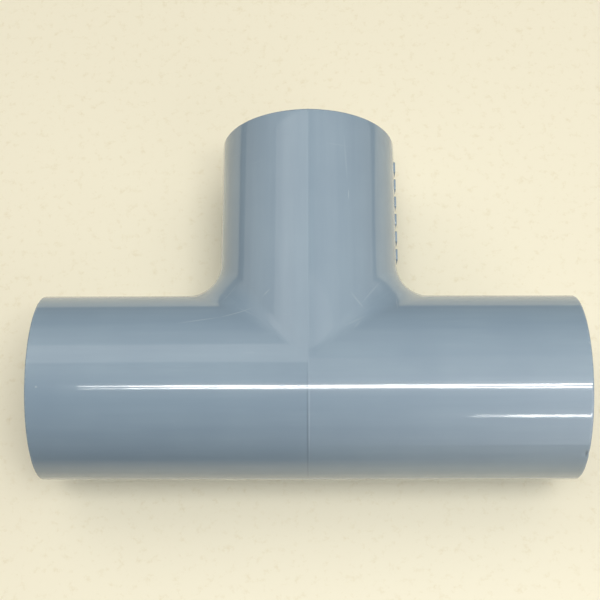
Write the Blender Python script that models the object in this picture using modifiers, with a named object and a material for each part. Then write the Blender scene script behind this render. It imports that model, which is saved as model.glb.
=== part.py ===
"""Equal tee for solvent-weld pressure pipe, moulded in one piece of rigid PVC.

The run lies along X and the branch points along +Y. The fitting rests on the plane z = 0,
and the origin is on that plane, under the middle of its outline.
"""

import math

import bmesh
import bpy
from mathutils import Vector

MM = 0.001

# Sockets: a pipe of 60 mm outside diameter wedges into the taper when it is glued.
MOUTH_DIAMETER = 60.8 * MM
SOCKET_DEPTH = 63.0 * MM
SOCKET_TAPER = 1.0 / 37.0  # loss of diameter over length
LEAD_IN_LENGTH = 2.0 * MM
LEAD_IN_RISE = 0.8 * MM
MOUTH_WALL = 4.6 * MM
RIM_ROUND = 0.8 * MM

# Waterway: the stop shoulder is as wide as the pipe's wall, so the flow sees no step.
STOP_SHOULDER = 4.05 * MM
STOP_ROUND = 1.0 * MM
STOP_LAND = 7.5 * MM  # straight bore between the stop and the rounded inner crotch
INNER_CROTCH_RADIUS = 5.0 * MM

# Crossing: the branch is a little slimmer than the run, inside and out, so that the side core
# seats on the run's core. Outside, the two flow together over the path of a rolling ball.
BRANCH_STEP = 0.3 * MM
CROTCH_RADIUS = 14.0 * MM

# Facets
QUARTER_STEPS = 18
CROTCH_STEPS = 7
INNER_CROTCH_STEPS = 4
EDGE_STEPS = 2

# Finish: glossy grey-blue PVC
BODY_COLOUR = (0.305, 0.385, 0.455, 1.0)
BODY_ROUGHNESS = 0.22
SHARP_ANGLE = math.radians(30.0)
WELD_DISTANCE = 0.01 * MM

# Sizes that follow from the ones above
MOUTH_RADIUS = MOUTH_DIAMETER / 2.0
SOCKET_END_RADIUS = MOUTH_RADIUS - SOCKET_DEPTH * SOCKET_TAPER / 2.0
RUN_BORE_RADIUS = SOCKET_END_RADIUS - STOP_SHOULDER
BRANCH_BORE_RADIUS = RUN_BORE_RADIUS - BRANCH_STEP
RUN_RADIUS = MOUTH_RADIUS + MOUTH_WALL
BRANCH_RADIUS = RUN_RADIUS - BRANCH_STEP
CENTRE_TO_STOP = RUN_BORE_RADIUS + INNER_CROTCH_RADIUS + STOP_LAND
CENTRE_TO_END = CENTRE_TO_STOP + SOCKET_DEPTH


def clear_scene():
    """Removes the objects of the scene that the script starts in."""
    for found in list(bpy.data.objects):
        bpy.data.objects.remove(found, do_unlink=True)


def edge_arc(centre, radius, start, end, steps):
    """Points (distance along the arm, radius) of an arc between two angles."""
    points = []
    for step in range(steps + 1):
        angle = start + (end - start) * step / steps
        points.append((centre[0] + radius * math.cos(angle), centre[1] + radius * math.sin(angle)))
    return points


def rim_profile(arm_radius):
    """Outer rim of an arm, from its side to its flat end face."""
    centre = (CENTRE_TO_END - RIM_ROUND, arm_radius - RIM_ROUND)
    return edge_arc(centre, RIM_ROUND, math.pi / 2.0, 0.0, EDGE_STEPS)


def socket_profile(bore_radius):
    """Inside of an arm, from its flat end face down to the bore past the stop."""
    stop_edge = (CENTRE_TO_STOP - STOP_ROUND, bore_radius + STOP_ROUND)
    return [
        (CENTRE_TO_END, MOUTH_RADIUS + LEAD_IN_RISE),
        (CENTRE_TO_END - LEAD_IN_LENGTH, MOUTH_RADIUS - LEAD_IN_LENGTH * SOCKET_TAPER / 2.0),
        (CENTRE_TO_STOP, SOCKET_END_RADIUS),
    ] + edge_arc(stop_edge, STOP_ROUND, 0.0, -math.pi / 2.0, EDGE_STEPS)


def crotch_arc(run_radius, branch_radius, ball_radius, angle, steps):
    """Path over the crotch, from branch to run, at one angle round the branch.

    A ball that touches both tubes has its centre on both tubes grown by its own radius. Its
    two points of contact and the arc between them give the blend.
    """
    reach = branch_radius + ball_radius
    centre_x = reach * math.cos(angle)
    centre_z = reach * math.sin(angle)
    centre_y = math.sqrt((run_radius + ball_radius) ** 2 - centre_z**2)
    centre = Vector((centre_x, centre_y, centre_z))
    to_branch = Vector((-math.cos(angle), 0.0, -math.sin(angle)))
    to_run = Vector((0.0, -centre_y, -centre_z)).normalized()
    return [centre + ball_radius * to_branch.slerp(to_run, step / steps) for step in range(steps + 1)]


def on_branch(profile, angle):
    """A profile of the branch, at an angle from +X towards +Z."""
    return [Vector((r * math.cos(angle), d, r * math.sin(angle))) for d, r in profile]


def on_run(profile, angle):
    """A profile of the run's +X arm, at an angle from +Y towards +Z."""
    return [Vector((d, r * math.cos(angle), r * math.sin(angle))) for d, r in profile]


def angle_on_run(point):
    """Angle of a point round the run, from +Y towards +Z."""
    return math.atan2(point.z, point.y)


def wall_section(angle):
    """Closed section of the wall, from the branch's mouth over the crotch to the run's mouth."""
    outer = crotch_arc(RUN_RADIUS, BRANCH_RADIUS, CROTCH_RADIUS, angle, CROTCH_STEPS)
    inner = crotch_arc(
        RUN_BORE_RADIUS, BRANCH_BORE_RADIUS, INNER_CROTCH_RADIUS, angle, INNER_CROTCH_STEPS
    )
    return {
        "branch_rim": on_branch(rim_profile(BRANCH_RADIUS), angle)[::-1],
        "crotch": outer,
        "run_rim": on_run(rim_profile(RUN_RADIUS), angle_on_run(outer[-1])),
        "run_socket": on_run(socket_profile(RUN_BORE_RADIUS), angle_on_run(inner[-1])),
        "waterway": inner[::-1],
        "branch_socket": on_branch(socket_profile(BRANCH_BORE_RADIUS), angle)[::-1],
    }


def underside_section(outer_angle, inner_angle):
    """Open section of the run's wall away from the branch, from the middle to its mouth and back."""
    outside = on_run([(0.0, RUN_RADIUS)] + rim_profile(RUN_RADIUS), outer_angle)
    inside = on_run(socket_profile(RUN_BORE_RADIUS) + [(0.0, RUN_BORE_RADIUS)], inner_angle)
    return outside + inside


def skin(mesh, rows, closed):
    """Faces between neighbouring rows of vertices."""
    for row, after in zip(rows, rows[1:]):
        count = len(row)
        for here in range(count if closed else count - 1):
            there = (here + 1) % count
            mesh.faces.new((row[here], after[here], after[there], row[there]))


def quarter_of_tee():
    """Quarter of the tee with x and z above 0, open on both planes of symmetry."""
    mesh = bmesh.new()
    quarter = math.pi / 2.0
    sections = [wall_section(quarter * step / QUARTER_STEPS) for step in range(QUARTER_STEPS + 1)]
    rows = []
    for section in sections:
        points = [point for stretch in section.values() for point in stretch]
        rows.append([mesh.verts.new(point) for point in points])
    skin(mesh, rows, closed=True)

    crown = sections[-1]
    first = len(crown["branch_rim"]) + len(crown["crotch"]) - 1
    last = first + len(crown["run_rim"]) + len(crown["run_socket"]) + 1
    outer_start = angle_on_run(crown["crotch"][-1])
    inner_start = angle_on_run(crown["waterway"][0])
    below = [rows[-1][first : last + 1]]
    for step in range(1, QUARTER_STEPS + 1):
        share = step / QUARTER_STEPS
        points = underside_section(
            outer_start + (math.pi - outer_start) * share,
            inner_start + (math.pi - inner_start) * share,
        )
        below.append([mesh.verts.new(point) for point in points])
    skin(mesh, below, closed=False)
    return mesh


def pvc_material():
    """Rigid PVC as it leaves a polished mould."""
    material = bpy.data.materials.new("grey_blue_pvc")
    material.use_nodes = True
    shader = material.node_tree.nodes["Principled BSDF"]
    shader.inputs["Base Color"].default_value = BODY_COLOUR
    shader.inputs["Roughness"].default_value = BODY_ROUGHNESS
    shader.inputs["Metallic"].default_value = 0.0
    return material


def tee_body(collection):
    """The moulding: a lofted quarter, mirrored across the run and across the joint plane."""
    mesh = bpy.data.meshes.new("tee_body")
    quarter = quarter_of_tee()
    quarter.to_mesh(mesh)
    quarter.free()
    mesh.shade_smooth()
    mesh.set_sharp_from_angle(angle=SHARP_ANGLE)
    mesh.materials.append(pvc_material())

    body = bpy.data.objects.new("tee_body", mesh)
    collection.objects.link(body)
    body.location = (0.0, -(CENTRE_TO_END - RUN_RADIUS) / 2.0, RUN_RADIUS)
    halves = body.modifiers.new("Both halves", "MIRROR")
    halves.use_axis = (True, False, True)
    halves.use_clip = True
    halves.merge_threshold = WELD_DISTANCE
    return body


def main():
    """Builds the fitting in a collection of its own."""
    clear_scene()
    fitting = bpy.data.collections.new("pvc_tee_fitting")
    bpy.context.scene.collection.children.link(fitting)
    tee_body(fitting)


main()
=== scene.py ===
"""Looks of a PVC pipe tee: its moulded skin, its finish, a pale table and plain room light.

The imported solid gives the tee's place and outer size. Gloss shows every facet, so the skin is
modelled again as a fine mesh that stands for the solid, with the marks that moulding leaves.
"""

import logging
import math
from dataclasses import dataclass
from enum import Enum

import bmesh
import bpy
import numpy as np
from mathutils import Euler, Matrix, Vector, noise

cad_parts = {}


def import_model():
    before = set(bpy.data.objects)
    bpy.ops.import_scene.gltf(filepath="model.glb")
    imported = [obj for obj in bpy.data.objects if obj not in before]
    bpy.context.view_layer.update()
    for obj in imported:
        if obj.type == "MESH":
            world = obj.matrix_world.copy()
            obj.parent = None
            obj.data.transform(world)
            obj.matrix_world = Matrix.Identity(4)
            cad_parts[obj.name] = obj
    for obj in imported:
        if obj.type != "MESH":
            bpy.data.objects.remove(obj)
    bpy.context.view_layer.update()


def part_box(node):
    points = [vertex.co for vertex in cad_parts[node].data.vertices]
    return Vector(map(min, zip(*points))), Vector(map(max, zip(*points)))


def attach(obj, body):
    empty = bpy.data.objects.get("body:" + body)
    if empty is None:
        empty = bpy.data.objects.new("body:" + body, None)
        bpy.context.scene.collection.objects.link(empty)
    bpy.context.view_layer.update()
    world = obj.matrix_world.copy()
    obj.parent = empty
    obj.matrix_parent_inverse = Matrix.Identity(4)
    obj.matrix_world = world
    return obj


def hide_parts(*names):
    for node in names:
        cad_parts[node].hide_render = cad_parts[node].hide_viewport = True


LOG = logging.getLogger("pvc_tee")
MM = 0.001
BODY = "root"
SOLID = "tee_body"
OUTSIDE = "outside"
Tree = bpy.types.NodeTree
Socket = bpy.types.NodeSocket

# Sockets of a mix by number, because mixes of colours and of vectors share their names.
MIX_SHARE, MIX_FROM, MIX_TO, MIX_COLOUR = 0, 6, 7, 2
MIX_VECTOR_FROM, MIX_VECTOR_TO, MIX_VECTOR = 4, 5, 1


def linear(code: str) -> tuple[float, float, float, float]:
    """Turns an sRGB hex colour into linear values with full opacity.

    Args:
        code: Colour such as "#8fa3b0".

    Returns:
        Red, green, blue and alpha, from 0 to 1.
    """
    values = [int(code[i : i + 2], 16) / 255.0 for i in (1, 3, 5)]
    bent = [v / 12.92 if v <= 0.04045 else ((v + 0.055) / 1.055) ** 2.4 for v in values]
    return bent[0], bent[1], bent[2], 1.0


def feed(tree: Tree, node: bpy.types.Node, inputs: dict) -> None:
    """Sets or links inputs of a node.

    Args:
        tree: Node tree that has the node.
        node: The node.
        inputs: Socket name or index, with a constant or the output socket that feeds it.
    """
    for key, value in inputs.items():
        if isinstance(value, Socket):
            tree.links.new(value, node.inputs[key])
        else:
            node.inputs[key].default_value = value


def add_node(
    tree: Tree, kind: str, inputs: dict | None = None, **settings: object
) -> bpy.types.bpy_prop_collection:
    """Adds a node with its settings and links.

    Args:
        tree: Node tree that gets the node.
        kind: Blender's name for the type of node, without the ShaderNode in front.
        inputs: Inputs to set or link, as feed takes them.
        settings: Properties of the node by name.

    Returns:
        The new node's output sockets.
    """
    node = tree.nodes.new(f"ShaderNode{kind}")
    for name, value in settings.items():
        setattr(node, name, value)
    feed(tree, node, inputs or {})
    return node.outputs


def new_material(name: str) -> tuple[bpy.types.Material, Tree, bpy.types.Node]:
    """Makes an empty material.

    Args:
        name: Name of the material.

    Returns:
        The material, its node tree and its Principled shader.
    """
    material = bpy.data.materials.new(name)
    material.use_nodes = True
    tree = material.node_tree
    return material, tree, tree.nodes["Principled BSDF"]


def paint_over(
    tree: Tree, colour: tuple | Socket, layers: list[tuple[Socket, tuple | Socket]]
) -> Socket:
    """Lays colours over one another.

    Args:
        tree: Node tree to add to.
        colour: Colour underneath, as linear values or the output socket that gives it.
        layers: Share of each colour above, with that colour, from the lowest up.

    Returns:
        The colour that shows.
    """
    for share, paint in layers:
        mix = {MIX_SHARE: share, MIX_FROM: colour, MIX_TO: paint}
        colour = add_node(tree, "Mix", mix, data_type="RGBA")[MIX_COLOUR]
    return colour


def largest(tree: Tree, shares: list[Socket]) -> Socket:
    """Takes the largest of several shares at each point.

    Args:
        tree: Node tree to add to.
        shares: The shares to compare.

    Returns:
        The largest.
    """
    most = shares[0]
    for share in shares[1:]:
        most = add_node(tree, "Math", {0: most, 1: share}, operation="MAXIMUM")[0]
    return most


def add_verts(
    grid: bmesh.types.BMesh, points: np.ndarray, outside: np.ndarray
) -> list[bmesh.types.BMVert]:
    """Adds points to a mesh.

    Args:
        grid: Mesh under construction, with a layer for the share of the outside.
        points: Places of the points.
        outside: Which of them lie on the outside.

    Returns:
        The new points.
    """
    layer = grid.verts.layers.float[OUTSIDE]
    made = []
    for point, out in zip(points, outside):
        vert = grid.verts.new(point)
        vert[layer] = float(out)
        made.append(vert)
    return made


def to_object(grid: bmesh.types.BMesh, name: str) -> bpy.types.Object:
    """Turns a finished mesh into an object of the scene.

    Args:
        grid: The mesh, which is freed.
        name: Name of the object and of its mesh.

    Returns:
        The object.
    """
    mesh = bpy.data.meshes.new(name)
    grid.to_mesh(mesh)
    grid.free()
    mesh.shade_smooth()
    thing = bpy.data.objects.new(name, mesh)
    bpy.context.scene.collection.objects.link(thing)
    return thing


class Arm(Enum):
    """The two tubes that cross in the tee."""

    RUN = "run"
    BRANCH = "branch"


@dataclass(frozen=True)
class FineMark:
    """A fine mark on the upper side, such as a pale scratch, the painted shade beside the seam and a
    dark spot on a rim.

    Its ends are in millimetres from the crossing, as seen from above. It shows on any surface that
    lies within its reach above or below its height.
    """

    start: tuple[float, float]
    end: tuple[float, float]
    width_mm: float = 0.5
    strength: float = 0.5
    height_mm: float = 28.0
    reach_mm: float = 45.0
    full_from: float = 0.7  # share of the way from edge to middle at which it has its full strength

    def draw(self, tree: Tree, in_mm: Socket) -> Socket:
        """Draws the mark, strongest along its middle and nothing past its ends.

        Args:
            tree: Node tree to add to.
            in_mm: Place from the crossing, in millimetres.

        Returns:
            How much of the mark each point has.
        """
        way = Vector(self.end) - Vector(self.start)
        middle = (Vector(self.start) + Vector(self.end)) / 2.0
        lie = {
            "Vector": in_mm,
            "Location": (middle.x, middle.y, self.height_mm),
            "Rotation": (0.0, 0.0, math.atan2(way.y, way.x)),
            "Scale": (way.length / 2.0, self.width_mm / 2.0, self.reach_mm),
        }
        inside = add_node(tree, "Mapping", lie, vector_type="TEXTURE")["Vector"]
        fade = add_node(tree, "TexGradient", {"Vector": inside}, gradient_type="SPHERICAL")
        return add_node(
            tree, "MapRange", {"Value": fade["Fac"], "From Max": self.full_from, "To Max": self.strength}
        )["Result"]


HANDLING_MARKS = (
    FineMark((-48.5, 15.2), (-31.0, 18.4), 0.5, 0.3),
    FineMark((-33.5, 17.7), (-19.5, 22.6), 0.5, 0.35),
    FineMark((-33.4, 25.0), (-25.5, 35.2), 0.5, 0.16),
    FineMark((-27.0, 23.5), (-18.5, 18.0), 0.6, 0.12),
    FineMark((-16.8, 26.0), (-13.9, 28.6), 0.6, 0.25),
    FineMark((15.1, 27.9), (20.9, 21.3), 1.0, 0.16),
    FineMark((19.1, 23.2), (27.5, 35.4), 0.9, 0.13),
    FineMark((12.5, 13.5), (21.5, 19.0), 1.0, 0.1),
    FineMark((16.0, 12.5), (19.5, 17.0), 1.0, 0.1),
    FineMark((32.7, 29.7), (32.8, 21.9), 0.6, 0.2),
    FineMark((15.2, 69.0), (15.2, 64.0), 0.5, 0.3),
    FineMark((13.6, 93.0), (14.9, 70.0), 0.9, 0.1),
    FineMark((-97.2, -9.0), (-96.0, -9.0), 1.0, 0.4),
)
# Painted shade: a thin dark line just left of the seam, down the front of the run. Then a dark spot on
# the right rim, over its nick.
SEAM_SHADE_AND_RIM_SPOT = (
    FineMark((-0.4, -46.0), (-0.4, 4.0), 0.9, 0.28, 16.0),
    FineMark((99.9, -31.0), (99.9, -28.8), 1.3, 0.7, 18.0, 4.0),
)


@dataclass(frozen=True)
class MouldedPvc:
    """Rigid PVC, injection moulded in a hand-polished steel cavity.

    The polish leaves fine lines along each arm, which break a lamp's reflection into threads, and
    a fine haze, which puts a soft glow round them. The colour is even, with faint flow streaks.
    Handling adds pale hair scratches and dulls the rims, and the cores leave the inside duller
    than the outside. A thin line of painted shade runs down beside the seam, and a dark spot sits
    on the right rim over its nick.
    """

    colour: str = "#8a9eb1"
    streak_colour: str = "#90a4b6"
    scratch_colour: str = "#c2d0d6"
    # colour of the painted shade beside the seam and of the dark spot on the rim
    seam_shade_and_spot_colour: str = "#5d6a74"
    ior: float = 1.53
    roughness: float = 0.035
    inside_roughness: float = 0.22
    scuffed_roughness: float = 0.3
    haze: float = 0.3
    haze_roughness: float = 0.16
    polish_pitch_mm: float = 1.0  # drawn coarser than the real tenth of a millimetre, to show
    polish_length_mm: float = 70.0
    polish_depth_mm: float = 0.002
    polish_detail: float = 3.0
    polish_fineness: float = 0.65
    ripple_pitch_mm: float = 2.6
    ripple_length_mm: float = 110.0
    ripple_depth_mm: float = 0.035
    ripple_detail: float = 0.0
    flow_width_mm: float = 6.0
    flow_length_mm: float = 90.0
    flow_detail: float = 4.0
    flow_fineness: float = 0.6
    cloud_mm: float = 28.0
    cloud_detail: float = 2.0
    tone_range: tuple[float, float] = (0.14, 0.4)
    mitre_blur_mm: float = 1.5
    scratch_turns_deg: tuple[float, ...] = (14.0, 52.0, 118.0)
    scratch_pitch_mm: float = 1.6
    scratch_length_mm: float = 26.0
    scratch_reach_mm: float = 40.0
    scratch_detail: float = 1.0
    scratch_range: tuple[float, float] = (0.78, 0.86)
    scratch_strength: float = 0.1
    rim_wear_mm: float = 1.2
    rim_grain_mm: float = 1.5
    rim_grain_detail: float = 4.0
    rim_patch_range: tuple[float, float] = (0.45, 0.7)
    rim_wear_strength: float = 0.35
    marks: tuple[FineMark, ...] = HANDLING_MARKS
    seam_shade_and_spot: tuple[FineMark, ...] = SEAM_SHADE_AND_RIM_SPOT

    def material(self, crossing: Vector, centre_to_end: float) -> bpy.types.Material:
        """Builds the shader.

        Args:
            crossing: Where the axes of run and branch cross, in metres.
            centre_to_end: Distance from there to each rim, in metres.

        Returns:
            The material.
        """
        material, tree, shader = new_material("moulded_grey_blue_pvc")
        place = add_node(tree, "TexCoord")["Object"]
        from_crossing = add_node(tree, "VectorMath", {0: place, 1: crossing}, operation="SUBTRACT")[0]
        in_mm = add_node(
            tree, "VectorMath", {0: from_crossing, 1: (1.0 / MM,) * 3}, operation="MULTIPLY"
        )[0]
        on_branch = self._branch_share(tree, in_mm)
        outside = add_node(tree, "Attribute", attribute_name=OUTSIDE)["Fac"]
        worn = [self._scratches(tree, in_mm), self._rim_wear(tree, in_mm, centre_to_end / MM)]
        wear = largest(tree, worn + [mark.draw(tree, in_mm) for mark in self.marks])
        wear = add_node(tree, "Math", {0: wear, 1: outside}, operation="MULTIPLY")[0]
        # Painted shade beside the seam, and the dark spot on the right rim.
        seam_shade_and_spot = largest(tree, [mark.draw(tree, in_mm) for mark in self.seam_shade_and_spot])
        layers = [
            (self._tone(tree, in_mm, on_branch), linear(self.streak_colour)),
            (wear, linear(self.scratch_colour)),
            (seam_shade_and_spot, linear(self.seam_shade_and_spot_colour)),
        ]
        colour = paint_over(tree, linear(self.colour), layers)
        rough = self.inside_roughness
        for share, roughness in ((outside, self.roughness), (wear, self.scuffed_roughness)):
            blend = {"Value": share, "To Min": rough, "To Max": roughness}
            rough = add_node(tree, "MapRange", blend)["Result"]
        look = {
            "Base Color": colour,
            "Roughness": rough,
            "Normal": self._relief(tree, in_mm, on_branch),
            "IOR": self.ior,
            "Coat IOR": self.ior,
            "Coat Weight": self.haze,
            "Coat Roughness": self.haze_roughness,
        }
        feed(tree, shader, look)
        return material

    def _tone(self, tree: Tree, in_mm: Socket, on_branch: Socket) -> Socket:
        """Mottles the colour with flow streaks that come and go in clouds.

        Args:
            tree: Node tree to add to.
            in_mm: Place from the crossing, in millimetres.
            on_branch: 0 on the run and 1 on the branch.

        Returns:
            Share of the streaks' colour at each point.
        """
        flow = self._along(tree, in_mm, on_branch, self.flow_width_mm, self.flow_length_mm)
        grain = {"Detail": self.flow_detail, "Roughness": self.flow_fineness}
        streaks = add_node(tree, "TexNoise", {"Vector": flow, "Scale": 1.0, **grain})["Fac"]
        cloud = {"Scale": 1.0 / self.cloud_mm, "Detail": self.cloud_detail}
        clouds = add_node(tree, "TexNoise", {"Vector": in_mm, **cloud})["Fac"]
        tone = add_node(tree, "Math", {0: streaks, 1: clouds}, operation="MULTIPLY")[0]
        none, full = self.tone_range
        return add_node(tree, "MapRange", {"Value": tone, "From Min": none, "From Max": full})["Result"]

    def _relief(self, tree: Tree, in_mm: Socket, on_branch: Socket) -> Socket:
        """Raises long ripples and, on them, the lines of the polish.

        Args:
            tree: Node tree to add to.
            in_mm: Place from the crossing, in millimetres.
            on_branch: 0 on the run and 1 on the branch.

        Returns:
            The way that the surface faces at each point.
        """
        swell = self._along(tree, in_mm, on_branch, self.ripple_pitch_mm, self.ripple_length_mm)
        grain = {"Detail": self.ripple_detail}
        ripples = add_node(tree, "TexNoise", {"Vector": swell, "Scale": 1.0, **grain})["Fac"]
        polish = self._along(tree, in_mm, on_branch, self.polish_pitch_mm, self.polish_length_mm)
        grain = {"Detail": self.polish_detail, "Roughness": self.polish_fineness}
        lines = add_node(tree, "TexNoise", {"Vector": polish, "Scale": 1.0, **grain})["Fac"]
        depths = ((ripples, self.ripple_depth_mm), (lines, self.polish_depth_mm))
        normal = {}
        for height, depth in depths:
            bump = {"Height": height, "Distance": depth * MM, "Strength": 1.0}
            normal = {"Normal": add_node(tree, "Bump", bump | normal)["Normal"]}
        return normal["Normal"]

    def _rim_wear(self, tree: Tree, in_mm: Socket, centre_to_end_mm: float) -> Socket:
        """Scuffs the rims in patches.

        Args:
            tree: Node tree to add to.
            in_mm: Place from the crossing, in millimetres.
            centre_to_end_mm: Distance from the crossing to each rim, in millimetres.

        Returns:
            How scuffed each point is.
        """
        parts = add_node(tree, "SeparateXYZ", {0: in_mm})
        away = add_node(tree, "Math", {0: parts["X"]}, operation="ABSOLUTE")[0]
        furthest = add_node(tree, "Math", {0: away, 1: parts["Y"]}, operation="MAXIMUM")[0]
        span = {"From Min": centre_to_end_mm - self.rim_wear_mm, "From Max": centre_to_end_mm}
        at_rim = add_node(tree, "MapRange", {"Value": furthest, **span})["Result"]
        grain = {"Scale": 1.0 / self.rim_grain_mm, "Detail": self.rim_grain_detail}
        grit = add_node(tree, "TexNoise", {"Vector": in_mm, **grain})["Fac"]
        none, full = self.rim_patch_range
        span = {"From Min": none, "From Max": full, "To Max": self.rim_wear_strength}
        patches = add_node(tree, "MapRange", {"Value": grit, **span})["Result"]
        return add_node(tree, "Math", {0: at_rim, 1: patches}, operation="MULTIPLY")[0]

    def _branch_share(self, tree: Tree, in_mm: Socket) -> Socket:
        """Tells branch from run by which of the two a point lies further along.

        Args:
            tree: Node tree to add to.
            in_mm: Place from the crossing, in millimetres.

        Returns:
            0 on the run and 1 on the branch, with a short blend where they meet.
        """
        parts = add_node(tree, "SeparateXYZ", {0: in_mm})
        away = add_node(tree, "Math", {0: parts["X"]}, operation="ABSOLUTE")[0]
        lead = add_node(tree, "Math", {0: parts["Y"], 1: away}, operation="SUBTRACT")[0]
        span = {"From Min": -self.mitre_blur_mm, "From Max": self.mitre_blur_mm}
        return add_node(tree, "MapRange", {"Value": lead, **span})["Result"]

    @staticmethod
    def _along(
        tree: Tree, in_mm: Socket, on_branch: Socket, width_mm: float, length_mm: float
    ) -> Socket:
        """Stretches a pattern along whichever arm a point is on.

        Args:
            tree: Node tree to add to.
            in_mm: Place from the crossing, in millimetres.
            on_branch: 0 on the run and 1 on the branch.
            width_mm: Width of one mark.
            length_mm: Length of one mark.

        Returns:
            Coordinates in which a pattern of unit scale has those sizes.
        """
        scales = {
            MIX_VECTOR_FROM: (1.0 / length_mm, 1.0 / width_mm, 1.0 / width_mm),
            MIX_VECTOR_TO: (1.0 / width_mm, 1.0 / length_mm, 1.0 / width_mm),
        }
        mix = {MIX_SHARE: on_branch}
        for end, scale in scales.items():
            mix[end] = add_node(tree, "VectorMath", {0: in_mm, 1: scale}, operation="MULTIPLY")[0]
        return add_node(tree, "Mix", mix, data_type="VECTOR")[MIX_VECTOR]

    def _scratches(self, tree: Tree, in_mm: Socket) -> Socket:
        """Draws sparse hair scratches in a few directions.

        Args:
            tree: Node tree to add to.
            in_mm: Place from the crossing, in millimetres.

        Returns:
            How much of a scratch each point has, from 0 to 1.
        """
        sizes_mm = (self.scratch_length_mm, self.scratch_pitch_mm, self.scratch_reach_mm)
        scale = tuple(1.0 / size for size in sizes_mm)
        grain = {"Scale": 1.0, "Detail": self.scratch_detail}
        none, full = self.scratch_range
        span = {"From Min": none, "From Max": full, "To Max": self.scratch_strength}
        shares = []
        for turn_deg in self.scratch_turns_deg:
            turn = (0.0, 0.0, math.radians(turn_deg))
            turned = add_node(tree, "Mapping", {"Vector": in_mm, "Rotation": turn, "Scale": scale})
            field = add_node(tree, "TexNoise", {"Vector": turned["Vector"], **grain})["Fac"]
            shares.append(add_node(tree, "MapRange", {"Value": field, **span})["Result"])
        return largest(tree, shares)


@dataclass(frozen=True)
class PaleLaminate:
    """Cream melamine laminate, pressed satin over a printed paper, which shows as faint flecks.

    The camera sees a floor of it that fades into the backdrop. Gloss and bounced light see a table
    top of it with a dark room beyond, which draws the dark line along the edges of a glossy tube,
    and a painted pool of light on that dark floor at the right front.
    Edges are in metres from the tee's crossing.
    """

    colour: str = "#f3edd8"
    fleck_colour: str = "#e8dfc4"
    beyond: str = "#1c1c1c"
    # colour of a painted pool of light on the dark floor past the table, at its right front
    painted_pool_colour: str = "#e8e4da"
    fleck_mm: float = 3.8
    fleck_detail: float = 3.0
    fleck_fineness: float = 0.7
    fleck_range: tuple[float, float] = (0.55, 0.8)
    roughness: float = 0.5
    left: float = -0.28
    right: float = 0.45
    near: float = -0.115
    far: float = 0.24
    edge_blur: float = 0.005
    near_blur: float = 0.03
    # where the painted pool of light starts and is full, across and towards the front
    lit_from: float = -0.03
    lit_to: float = 0.14
    front_depth: float = 0.1
    fade_from: float = 0.25
    fade_to: float = 0.8

    def material(self, crossing: Vector, backdrop: str) -> bpy.types.Material:
        """Builds the shader of the table.

        Args:
            crossing: Where the tee's axes cross, in metres.
            backdrop: Colour that the floor fades to.

        Returns:
            The material.
        """
        material, tree, shader = new_material("cream_laminate")
        place = add_node(tree, "TexCoord")["Object"]
        offset = add_node(tree, "VectorMath", {0: place, 1: crossing}, operation="SUBTRACT")[0]
        spot = add_node(tree, "SeparateXYZ", {0: offset})
        distance = add_node(tree, "VectorMath", {0: offset}, operation="LENGTH")["Value"]
        print_grain = {"Detail": self.fleck_detail, "Roughness": self.fleck_fineness}
        flecks = add_node(
            tree, "TexNoise", {"Vector": place, "Scale": 1.0 / (self.fleck_mm * MM), **print_grain}
        )["Fac"]
        spans = {
            "flecks": (flecks, *self.fleck_range),
            "left": (spot["X"], self.left, self.left - self.edge_blur),
            "right": (spot["X"], self.right, self.right + self.edge_blur),
            "far": (spot["Y"], self.far, self.far + self.edge_blur),
            "near": (spot["Y"], self.near + self.near_blur, self.near - self.near_blur),
            "painted_pool": (spot["X"], self.lit_from, self.lit_to),
            "front": (spot["Y"], 0.0, -self.front_depth),
            "distant": (distance, self.fade_from, self.fade_to),
        }
        shares = {}
        for name, (value, none, full) in spans.items():
            span = {"Value": value, "From Min": none, "From Max": full}
            shares[name] = add_node(tree, "MapRange", span)["Result"]
        past = largest(tree, [shares[edge] for edge in ("left", "right", "far", "near")])
        seen = add_node(tree, "LightPath")["Is Camera Ray"]
        unseen = add_node(tree, "Math", {0: 1.0, 1: seen}, operation="SUBTRACT")[0]
        pairs = ((shares["painted_pool"], shares["front"]), (past, unseen), (shares["distant"], seen))
        painted_pool, dark, fade = (
            add_node(tree, "Math", {0: one, 1: other}, operation="MULTIPLY")[0]
            for one, other in pairs
        )
        # Painted light: past the table's edges the dark floor is painted pale towards the right front, a
        # pool of light that only gloss and bounced light see.
        floor = paint_over(tree, linear(self.beyond), [(painted_pool, linear(self.painted_pool_colour))])
        layers = [(shares["flecks"], linear(self.fleck_colour)), (dark, floor)]
        colour = paint_over(tree, linear(self.colour), layers)
        feed(tree, shader, {"Base Color": colour, "Roughness": self.roughness})
        pale = add_node(tree, "Emission", {"Color": linear(backdrop)})["Emission"]
        surface = add_node(tree, "MixShader", {0: fade, 1: shader.outputs["BSDF"], 2: pale})
        feed(tree, tree.nodes["Material Output"], {"Surface": surface["Shader"]})
        return material


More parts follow.
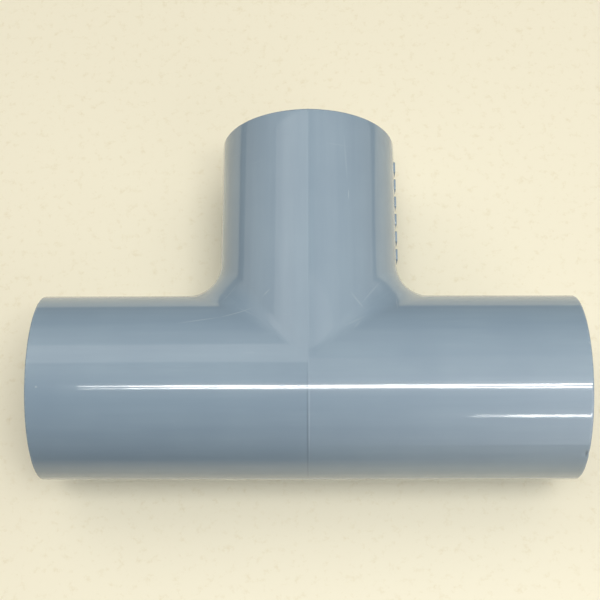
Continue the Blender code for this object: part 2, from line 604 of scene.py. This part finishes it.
@dataclass
class TeeSkin:
    """The tee's whole surface: outside, rims, sockets, stops and waterway. Lengths are in metres."""

    run_radius: float
    centre_to_end: float
    crossing: Vector
    branch_step: float = 0.3 * MM
    crotch_radius: float = 14.0 * MM
    mouth_wall: float = 4.6 * MM
    socket_depth: float = 63.0 * MM
    socket_taper: float = 1.0 / 37.0
    lead_in_length: float = 2.0 * MM
    lead_in_rise: float = 0.8 * MM
    stop_shoulder: float = 4.05 * MM
    inner_crotch_radius: float = 5.0 * MM
    rim_round: float = 0.8 * MM
    lip_round: float = 0.3 * MM
    stop_round: float = 1.0 * MM
    socket_corner: float = 0.6 * MM
    seam_height: float = 0.04 * MM
    seam_half_width: float = 0.3 * MM
    seam_roof: float = 0.09 * MM
    seam_roof_reach: float = 6.0 * MM
    draft: float = math.radians(0.1)
    sink_depth: float = 0.12 * MM
    sink_reach: float = 15.0 * MM
    sink_shift: float = 5.0 * MM
    ripple: float = 0.012 * MM
    ripple_length: float = 30.0 * MM
    nick: tuple[float, float, float] = (99.9 * MM, -29.9 * MM, 18.0 * MM)
    nick_reach: float = 0.8 * MM
    nick_depth: float = 0.4 * MM
    seam_spacing: tuple[float, ...] = (0.0, 0.4, 0.75, 1.0, 1.5, 2.6)  # in half widths of the seam
    first_step: float = 1.0 / 3.0  # in pitches, from there to the even spacing
    rim_spacing: tuple[float, ...] = (2.6 * MM, 1.8 * MM, 1.1 * MM, 0.5 * MM, 0.0)
    rim_margin: float = 2.0 * MM
    run_pitch: float = 4.5 * MM
    round_pitch: float = 0.8 * MM
    branch_rings: int = 14
    under_rings: int = 80
    socket_rings: int = 9
    crotch_steps: int = 28
    inner_crotch_steps: int = 10
    corner_steps: int = 4
    lip_end_deg: float = -65.0
    weld: float = 0.001 * MM

    @classmethod
    def from_solid(cls, node: str) -> "TeeSkin":
        """Takes the tee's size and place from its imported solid.

        Args:
            node: Name of the solid.

        Returns:
            The skin that fits it.
        """
        low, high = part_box(node)
        radius = (high.z - low.z) / 2.0
        return cls(radius, (high.x - low.x) / 2.0, Vector((0.0, low.y + radius, low.z + radius)))

    def __post_init__(self) -> None:
        """Works out the radii and places that follow from the fields."""
        self.branch_radius = self.run_radius - self.branch_step
        self.mouth_radius = self.run_radius - self.mouth_wall
        self.socket_end_radius = self.mouth_radius - self.socket_depth * self.socket_taper / 2.0
        self.run_bore = self.socket_end_radius - self.stop_shoulder
        self.branch_bore = self.run_bore - self.branch_step
        self.centre_to_stop = self.centre_to_end - self.socket_depth

    def arc(self, centre: tuple, radius: float, start: float, end: float, steps: int = 6) -> list[tuple]:
        """Rounds an edge of an arm.

        Args:
            centre: Distance along the arm and radius of the arc's centre.
            radius: Radius of the arc.
            start: First angle in degrees, from the way out of the arm towards larger radius.
            end: Last angle in degrees.
            steps: Number of steps.

        Returns:
            Pairs of distance along the arm and radius.
        """
        turns = np.radians(np.linspace(start, end, steps + 1))
        return [(centre[0] + radius * math.cos(t), centre[1] + radius * math.sin(t)) for t in turns]

    def rim(self, radius: float) -> list[tuple]:
        """Gives the rounded outer edge of an arm's mouth, from its side to its end face."""
        centre = (self.centre_to_end - self.rim_round, radius - self.rim_round)
        return self.arc(centre, self.rim_round, 90.0, 0.0)

    def socket(self, bore: float) -> list[tuple]:
        """Gives the inside of an arm, from its end face to its bore.

        Args:
            bore: Radius of the bore past the stop.

        Returns:
            Pairs of distance along the arm and radius.
        """
        end, stop, steps = self.centre_to_end, self.centre_to_stop, self.corner_steps
        lip, corner, shoulder = self.lip_round, self.socket_corner, self.stop_round
        flare = self.mouth_radius + self.lead_in_rise
        throat = self.mouth_radius - self.lead_in_length * self.socket_taper / 2.0
        length = self.socket_depth - corner - self.lead_in_length
        narrowing = self.socket_end_radius - throat
        start = end - self.lead_in_length
        shares = np.linspace(0.0, 1.0, self.socket_rings)
        return (
            self.arc((end - lip, flare + lip), lip, 0.0, self.lip_end_deg, steps)
            + [(start - length * share, throat + narrowing * share) for share in shares]
            + self.arc((stop + corner, self.socket_end_radius - corner), corner, 90.0, 180.0, steps)[1:]
            + self.arc((stop - shoulder, bore + shoulder), shoulder, 0.0, -90.0)
        )

    def crotch(self, run: float, branch: float, ball: float, angle: float, steps: int) -> np.ndarray:
        """Rolls a ball round the crotch and takes the arc between its two points of contact.

        Args:
            run: Radius of the run's tube.
            branch: Radius of the branch's tube.
            ball: Radius of the ball.
            angle: Angle round the branch, from the run's axis.
            steps: Number of steps in the arc.

        Returns:
            Points from branch to run.
        """
        reach = branch + ball
        x, z = reach * math.cos(angle), reach * math.sin(angle)
        y = math.sqrt((run + ball) ** 2 - z * z)
        to_branch = Vector((-math.cos(angle), 0.0, -math.sin(angle)))
        to_run = Vector((0.0, -y, -z)).normalized()
        centre = Vector((x, y, z))
        return np.array([centre + ball * to_branch.slerp(to_run, i / steps) for i in range(steps + 1)])

    @staticmethod
    def placed(arm: Arm, profile: list[tuple], angle: float) -> np.ndarray:
        """Puts a profile on an arm at an angle round it.

        Args:
            arm: Which arm.
            profile: Pairs of distance along the arm and radius.
            angle: Angle round the arm, in radians, towards +Z.

        Returns:
            Points in the quarter with x and z above 0.
        """
        along, radius = np.array(profile).T
        flat, up = radius * math.cos(angle), radius * math.sin(angle)
        return np.stack([along, flat, up] if arm is Arm.RUN else [flat, along, up], axis=1)

    def steps_from_seam(self, length: float, pitch: float) -> np.ndarray:
        """Spaces points from the parting line outwards, close together at the line.

        Args:
            length: Distance to cover.
            pitch: Spacing far from the line.

        Returns:
            Distances from 0 to the length.
        """
        near = np.array(self.seam_spacing) * self.seam_half_width
        first = near[-1] + pitch * self.first_step
        return np.append(near, np.linspace(first, length, max(2, round((length - first) / pitch))))

    def run_columns(self) -> np.ndarray:
        """Spaces the sections' points along the run, close together at the seam and at the rim.

        Returns:
            Distances from the seam to where the rim starts to round.
        """
        side = self.centre_to_end - self.rim_round
        by_rim = side - np.array(self.rim_spacing)
        return np.append(self.steps_from_seam(by_rim[0] - self.rim_margin, self.run_pitch), by_rim)

    def wall_rows(self) -> tuple[list[np.ndarray], np.ndarray, tuple[int, int], tuple[float, float]]:
        """Makes the closed sections of the wall from branch to run, round a quarter of the branch.

        Returns:
            The sections, which of their points lie outside, the first and last point that the
            run shares with its underside, and the two angles round the run where that starts.
        """
        quarter = math.pi / 2.0
        side = self.centre_to_end - self.rim_round
        along_run = self.run_columns() / side
        along_branch = np.linspace(1.0, 0.0, self.branch_rings)
        round_branch = self.steps_from_seam(self.branch_radius * quarter, self.round_pitch)
        angles = quarter - round_branch / self.branch_radius
        rows, outside, shared, starts = [], np.array([]), (0, 0), (0.0, 0.0)
        for angle in angles[::-1]:
            outer = self.crotch(
                self.run_radius, self.branch_radius, self.crotch_radius, angle, self.crotch_steps
            )
            inner = self.crotch(
                self.run_bore, self.branch_bore, self.inner_crotch_radius, angle, self.inner_crotch_steps
            )
            on_run = [math.atan2(points[-1][2], points[-1][1]) for points in (outer, inner)]
            from_run, from_branch = outer[-1][0], outer[0][1]
            run_side = [(from_run + (side - from_run) * t, self.run_radius) for t in along_run[1:-1]]
            branch_side = [
                (from_branch + (side - from_branch) * t, self.branch_radius) for t in along_branch[1:-1]
            ]
            stretches = [
                (True, self.placed(Arm.BRANCH, self.rim(self.branch_radius), angle)[::-1]),
                (True, self.placed(Arm.BRANCH, branch_side, angle)),
                (True, outer),
                (True, self.placed(Arm.RUN, run_side, on_run[0])),
                (True, self.placed(Arm.RUN, self.rim(self.run_radius), on_run[0])),
                (False, self.placed(Arm.RUN, self.socket(self.run_bore), on_run[1])),
                (False, inner[::-1]),
                (False, self.placed(Arm.BRANCH, self.socket(self.branch_bore), angle)[::-1]),
            ]
            sizes = [len(points) for _, points in stretches]
            outside = np.concatenate([np.full(len(points), out) for out, points in stretches])
            shared = (sum(sizes[:3]) - 1, sum(sizes[:6]))
            starts = (on_run[0], on_run[1])
            rows.append(np.concatenate([points for _, points in stretches]))
        return rows, outside, shared, starts

    def under_rows(self, starts: tuple[float, float]) -> tuple[list[np.ndarray], np.ndarray]:
        """Makes the open sections of the run's wall away from the branch.

        Args:
            starts: Outer and inner angle round the run where the branch's sections end.

        Returns:
            The sections, and which of their points lie outside.
        """
        run_side = [(x, self.run_radius) for x in self.run_columns()[:-1]]
        outer = run_side + self.rim(self.run_radius)
        inner = self.socket(self.run_bore) + [(0.0, self.run_bore)]
        rows = []
        for share in np.linspace(0.0, 1.0, self.under_rings)[1:]:
            angles = [start + (math.pi - start) * share for start in starts]
            walls = [self.placed(Arm.RUN, wall, angle) for wall, angle in zip((outer, inner), angles)]
            rows.append(np.concatenate(walls))
        return rows, np.array([True] * len(outer) + [False] * len(inner))

    def build(self) -> bpy.types.Object:
        """Skins the sections, mirrors the quarter twice and leaves the mould's marks on it.

        Returns:
            The tee's surface as one closed mesh.
        """
        rows, outside, shared, starts = self.wall_rows()
        under, under_outside = self.under_rows(starts)
        grid = bmesh.new()
        grid.verts.layers.float.new(OUTSIDE)
        for mirror_x in (1.0, -1.0):
            for mirror_z in (1.0, -1.0):
                flip = np.array([mirror_x, 1.0, mirror_z])
                wall = [add_verts(grid, row * flip, outside) for row in rows]
                below = [wall[-1][shared[0] : shared[1] + 1]]
                below += [add_verts(grid, row * flip, under_outside) for row in under]
                inverted = mirror_x * mirror_z < 0.0
                self._skin(grid, wall, True, inverted)
                self._skin(grid, below, False, inverted)
        bmesh.ops.remove_doubles(grid, verts=grid.verts, dist=self.weld)
        tee = to_object(grid, "tee_moulding")
        self.leave_mould_marks(tee.data)
        tee.data.transform(Matrix.Translation(self.crossing))
        return tee

    @staticmethod
    def _skin(grid: bmesh.types.BMesh, rows: list[list], closed: bool, inverted: bool) -> None:
        """Lays faces between neighbouring sections.

        Args:
            grid: Mesh under construction.
            rows: Points of each section, in order.
            closed: True where each section is a loop.
            inverted: True on a mirrored quarter.
        """
        for row, after in zip(rows, rows[1:]):
            count = len(row)
            for here in range(count if closed else count - 1):
                there = (here + 1) % count
                loop = (row[here], after[here], after[there], row[there])
                grid.faces.new(loop[::-1] if inverted else loop)

    def leave_mould_marks(self, mesh: bpy.types.Mesh) -> None:
        """Moves the outside in or out: draft, sink over the thick middle, seam, ripple and a nick.

        Args:
            mesh: The tee's mesh, with the axes crossing at its origin.
        """
        count = len(mesh.vertices)
        place, normal, out = np.zeros(count * 3), np.zeros(count * 3), np.zeros(count)
        mesh.vertices.foreach_get("co", place)
        mesh.vertex_normals.foreach_get("vector", normal)
        mesh.attributes[OUTSIDE].data.foreach_get("value", out)
        place, normal = place.reshape(-1, 3), normal.reshape(-1, 3)
        away = np.abs(place[:, 0])
        square = 1.0 - normal[:, 0] ** 2
        seam = self.seam_height * np.clip(1.0 - away / self.seam_half_width, 0.0, None)
        roof = self.seam_roof * np.exp(-away / self.seam_roof_reach)
        slope = math.tan(self.draft) * (self.centre_to_end / 2.0 - away)
        from_middle = np.hypot(place[:, 0], place[:, 1] - self.sink_shift) / self.sink_reach
        sink = -self.sink_depth * np.exp(-(from_middle**2) / 2.0) * normal[:, 2] ** 2
        ripple = np.array([noise.noise(Vector(p) / self.ripple_length) for p in place]) * self.ripple
        from_nick = np.linalg.norm(place - np.array(self.nick), axis=1) / self.nick_reach
        nick = -self.nick_depth * np.exp(-(from_nick**2) / 2.0)
        move = (seam + roof + slope) * square + sink + ripple + nick
        mesh.vertices.foreach_set("co", (place + normal * (move * out)[:, None]).ravel())
        mesh.update()

    def dress(self, tee: bpy.types.Object, material: bpy.types.Material) -> None:
        """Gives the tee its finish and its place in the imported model.

        Args:
            tee: The tee's surface.
            material: Its finish.
        """
        tee.data.materials.append(material)
        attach(tee, BODY)
        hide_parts(SOLID)


@dataclass
class RaisedBars:
    """A plain row of moulded bars on the right side of the branch. Lengths are in metres."""

    radius: float
    crossing: Vector
    count: int = 6
    length: float = 4.8 * MM
    width: float = 7.0 * MM
    height: float = 0.6 * MM
    sunk: float = 0.4 * MM
    pitch: float = 7.6 * MM
    first: float = 53.6 * MM
    corner: float = 0.9 * MM
    edge_round: float = 0.22 * MM
    draft: float = 0.1 * MM
    turn: float = math.radians(-1.0)
    least_corner: float = 0.15 * MM
    corner_turns_deg: tuple[float, ...] = (0.0, 15.0, 30.0, 45.0, 60.0, 75.0, 90.0)
    edge_turns_deg: tuple[float, ...] = (0.0, 30.0, 60.0, 90.0)
    top_shares: tuple[float, ...] = (0.9, 0.6, 0.3)

    def ring(self, inset: float) -> np.ndarray:
        """Outlines a bar as a rectangle with round corners.

        Args:
            inset: Distance inwards from the bar's foot.

        Returns:
            Pairs of distance along the branch and distance round it, from the bar's middle.
        """
        corner = max(self.corner - inset, self.least_corner)
        half = (self.length / 2.0 - inset - corner, self.width / 2.0 - inset - corner)
        turns = np.radians(self.corner_turns_deg)
        arc = np.stack([np.cos(turns), np.sin(turns)], axis=1) * corner
        points = []
        for quarter in range(4):
            face = math.radians(90.0 * quarter)
            spin = np.array([[math.cos(face), -math.sin(face)], [math.sin(face), math.cos(face)]])
            signs = np.sign(spin @ np.array([1.0, 1.0]))
            points.append(arc @ spin.T + np.array(half) * signs)
        return np.concatenate(points)

    def rows(self) -> list[tuple[np.ndarray, float]]:
        """Outlines a bar from its foot to its middle.

        Returns:
            Outlines, each with its height over the branch.
        """
        levels = [(0.0, -self.sunk), (0.0, 0.0)]
        for turn in np.radians(self.edge_turns_deg):
            inset = self.draft + self.edge_round * (1.0 - math.cos(turn))
            levels.append((inset, self.height - self.edge_round * (1.0 - math.sin(turn))))
        walls = [(self.ring(inset), rise) for inset, rise in levels]
        top = walls[-1][0]
        return walls + [(top * share, self.height) for share in self.top_shares]

    def build(self) -> bpy.types.Object:
        """Lofts the bars and bends them on to the branch.

        Returns:
            The row as one object.
        """
        grid = bmesh.new()
        grid.verts.layers.float.new(OUTSIDE)
        point = np.zeros((1, 2))
        levels = self.rows() + [(point, self.height), (point, -self.sunk)]
        for number in range(self.count):
            middle = self.first + number * self.pitch
            *loops, (centre,), (foot,) = [
                add_verts(grid, self.bent(middle, ring, rise), np.ones(len(ring)))
                for ring, rise in levels
            ]
            for here in range(len(loops[0])):
                there = (here + 1) % len(loops[0])
                for low, high in zip(loops, loops[1:]):
                    grid.faces.new((low[here], high[here], high[there], low[there]))
                grid.faces.new((loops[-1][here], centre, loops[-1][there]))
                grid.faces.new((loops[0][there], foot, loops[0][here]))
        bmesh.ops.recalc_face_normals(grid, faces=grid.faces)
        return to_object(grid, "raised_bars")

    def bent(self, middle: float, ring: np.ndarray, rise: float) -> np.ndarray:
        """Bends an outline on to the branch.

        Args:
            middle: Place of the bar's middle along the branch.
            ring: Pairs of distance along the branch and distance round it, from that middle.
            rise: Height over the branch's surface.

        Returns:
            Places of its points.
        """
        angles = self.turn + ring[:, 1] / self.radius
        reach = self.radius + rise
        places = [reach * np.cos(angles), middle + ring[:, 0], reach * np.sin(angles)]
        return np.stack(places, axis=1) + np.array(self.crossing)

    def dress(self, bars: bpy.types.Object, material: bpy.types.Material) -> None:
        """Gives the bars the tee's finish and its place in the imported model.

        Args:
            bars: The row of bars.
            material: Their finish.
        """
        bars.data.materials.append(material)
        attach(bars, BODY)


@dataclass(frozen=True)
class Camera:
    """The photograph's viewpoint, solved from the outlines of the crossing tubes."""

    from_crossing: tuple[float, float, float] = (1.32 * MM, -123.03 * MM, 445.64 * MM)
    tilt_deg: float = 19.571
    turn_deg: float = 0.585
    roll_deg: float = 0.054
    lens_mm: float = 72.33
    sensor_mm: float = 36.0
    clip_start: float = 10.0 * MM

    def place(self, crossing: Vector) -> None:
        """Puts the camera in the scene.

        Args:
            crossing: Where the tee's axes cross.
        """
        data = bpy.data.cameras.new("camera")
        data.lens = self.lens_mm
        data.sensor_width = self.sensor_mm
        data.clip_start = self.clip_start
        camera = bpy.data.objects.new("camera", data)
        camera.location = crossing + Vector(self.from_crossing)
        angles = (self.tilt_deg, self.turn_deg, self.roll_deg)
        camera.rotation_euler = Euler([math.radians(angle) for angle in angles])
        bpy.context.scene.collection.objects.link(camera)
        bpy.context.scene.camera = camera


@dataclass(frozen=True)
class Lamp:
    """A flat lamp. Lengths are in metres from the tee's crossing, power is in watts."""

    name: str
    centre: tuple[float, float, float]
    size: tuple[float, float]
    power: float
    turn_deg: tuple[float, float, float] = (0.0, 0.0, 0.0)  # faces straight down when all are 0
    mirrored: bool = True  # whether gloss shows it
    felt: bool = True  # whether it lights dull surfaces
    colour: str = "#fffdf8"

    def hang(self, crossing: Vector) -> None:
        """Hangs the lamp.

        Args:
            crossing: Where the tee's axes cross.
        """
        data = bpy.data.lights.new(self.name, "AREA")
        data.shape = "RECTANGLE"
        data.size, data.size_y = self.size
        data.energy = self.power
        data.color = linear(self.colour)[:3]
        lamp = bpy.data.objects.new(self.name, data)
        lamp.location = crossing + Vector(self.centre)
        lamp.rotation_euler = Euler([math.radians(angle) for angle in self.turn_deg])
        lamp.visible_glossy = self.mirrored
        lamp.visible_diffuse = self.felt
        bpy.context.scene.collection.objects.link(lamp)


TUBE_TURN_DEG = (0.0, 0.0, 2.5)


@dataclass(frozen=True)
class TwinTubes:
    """A ceiling fitting with two tubes. Lengths are in metres, power is in watts for each tube.

    A tube is a stack of parts that start further and further right, so it brightens in steps from
    its left end. The parts hang a little apart, because gloss shows only one of those in a plane.
    """

    name: str
    centre: tuple[float, float, float]
    tube_size: tuple[float, float]
    power: float
    felt: bool = True  # whether it lights dull surfaces
    spacing: float = 0.124
    part_starts: tuple[float, ...] = (-0.04, 0.05, 0.11)
    part_gap: float = 0.004

    def hang(self, crossing: Vector) -> None:
        """Hangs both tubes.

        Args:
            crossing: Where the tee's axes cross.
        """
        x, y, z = self.centre
        power = self.power / len(self.part_starts)
        for side, shift in (("front", -0.5), ("back", 0.5)):
            for part, start in enumerate(self.part_starts):
                spot = (x + start / 2.0, y + shift * self.spacing, z + part * self.part_gap)
                size = (self.tube_size[0] - start, self.tube_size[1])
                name = f"{self.name}_tube_{side}_{part}"
                Lamp(name, spot, size, power, TUBE_TURN_DEG, felt=self.felt).hang(crossing)


TUBES = (
    TwinTubes("near", (0.2, -0.465, 1.8), (1.2, 0.036), 6.2),
    TwinTubes("far", (1.07, -2.13, 1.8), (1.2, 0.05), 7.0, felt=False),
)
SOFT_LAMPS = (
    Lamp("tube_glow", (0.12, -0.1, 1.7), (1.2, 0.4), 7.9, TUBE_TURN_DEG, mirrored=False),
    Lamp("left_panel", (-0.6, 0.94, 1.8), (1.2, 0.95), 1.0),
    Lamp("left_panel_glow", (-0.85, 0.94, 1.81), (1.7, 0.95), 2.9),
    Lamp("right_panel", (0.6, 0.15, 1.8), (1.2, 1.1), 1.9),
    Lamp("right_panel_glow", (0.85, 0.5, 1.81), (1.2, 1.8), 1.7),
    Lamp("right_fill", (0.35, -0.3, 0.45), (0.4, 0.4), 0.45, (45.6, 0.0, 49.4), mirrored=False),
)


@dataclass
class Room:
    """The pale table and the light of a plain room with twin tubes on its ceiling.

    The walls lie infinitely far away. Where each starts and is full is given as the share of a
    ray's way that goes up, back or right.
    """

    crossing: Vector
    table_size: float = 6.0
    table_drop: float = 0.2 * MM
    tubes: tuple[TwinTubes, ...] = TUBES
    soft_lamps: tuple[Lamp, ...] = SOFT_LAMPS
    side_walls: str = "#d6d3c9"
    back_wall: str = "#aca99f"
    unlit: str = "#101010"
    window: str = "#ffffff"
    window_strength: float = 2.4
    backdrop: str = "#efe9d8"
    back_wall_up: tuple[float, float] = (0.35, 0.6)
    side_walls_out: tuple[float, float] = (0.15, 0.4)
    behind_back: tuple[float, float] = (0.4, 0.8)
    front_back: tuple[float, float] = (0.05, -0.25)
    window_right: tuple[float, float] = (-0.12, 0.28)

    def lay_table(self, material: bpy.types.Material) -> None:
        """Lays the table under the tee.

        Args:
            material: Finish of the table.
        """
        top = bmesh.new()
        bmesh.ops.create_grid(top, x_segments=1, y_segments=1, size=self.table_size / 2.0)
        table = to_object(top, "table")
        table.data.materials.append(material)
        table.location.z = -self.table_drop

    def light(self) -> None:
        """Hangs the lamps and fills the room with soft light from all sides but the front."""
        for lamp in self.tubes + self.soft_lamps:
            lamp.hang(self.crossing)
        world = bpy.data.worlds.new("room")
        bpy.context.scene.world = world
        world.use_nodes = True
        self.paint_walls(world.node_tree)

    def paint_walls(self, tree: Tree) -> None:
        """Paints the room round the table, with pale walls and, in gloss alone, a window on the right.

        Args:
            tree: Node tree of the world.
        """
        way = add_node(tree, "TexCoord")["Generated"]
        parts = add_node(tree, "SeparateXYZ", {0: way})
        away = add_node(tree, "Math", {0: parts["X"]}, operation="ABSOLUTE")[0]
        seen = add_node(tree, "LightPath")
        spans = {
            "high": (parts["Z"], *self.back_wall_up),
            "low": (parts["Z"], *self.back_wall_up[::-1]),
            "side": (away, *self.side_walls_out),
            "behind": (parts["Y"], *self.behind_back),
            "front": (parts["Y"], *self.front_back),
            "right": (parts["X"], *self.window_right),
        }
        shares = {}
        for name, (value, none, full) in spans.items():
            span = {"Value": value, "From Min": none, "From Max": full}
            shares[name] = add_node(tree, "MapRange", span)["Result"]
        pairs = ((shares["behind"], shares["low"]), (shares["front"], shares["right"]))
        dark, window = (
            add_node(tree, "Math", {0: one, 1: other}, operation="MULTIPLY")[0]
            for one, other in pairs
        )
        window = add_node(tree, "Math", {0: window, 1: seen["Is Glossy Ray"]}, operation="MULTIPLY")[0]
        layers = [
            (shares["high"], linear(self.back_wall)),
            (shares["side"], linear(self.side_walls)),
            (dark, linear(self.unlit)),
            (shares["front"], linear(self.unlit)),
            (window, linear(self.window)),
            (seen["Is Camera Ray"], linear(self.backdrop)),
        ]
        colour = paint_over(tree, linear(self.unlit), layers)
        strength = add_node(
            tree, "MapRange", {"Value": window, "To Min": 1.0, "To Max": self.window_strength}
        )["Result"]
        feed(tree, tree.nodes["Background"], {"Color": colour, "Strength": strength})


def main() -> None:
    """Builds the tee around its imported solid, then the table, the light and the camera."""
    logging.basicConfig(level=logging.INFO, format="%(name)s: %(message)s")
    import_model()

    skin = TeeSkin.from_solid(SOLID)
    pvc = MouldedPvc().material(skin.crossing, skin.centre_to_end)
    tee = skin.build()
    skin.dress(tee, pvc)
    LOG.info("%s: %d faces", tee.name, len(tee.data.polygons))

    row = RaisedBars(skin.branch_radius, skin.crossing)
    bars = row.build()
    row.dress(bars, pvc)
    LOG.info("%s: %d faces", bars.name, len(bars.data.polygons))

    room = Room(skin.crossing)
    room.lay_table(PaleLaminate().material(skin.crossing, room.backdrop))
    room.light()
    Camera().place(skin.crossing)
    bpy.context.scene.view_settings.view_transform = "Standard"


if __name__ == "__main__":
    main()
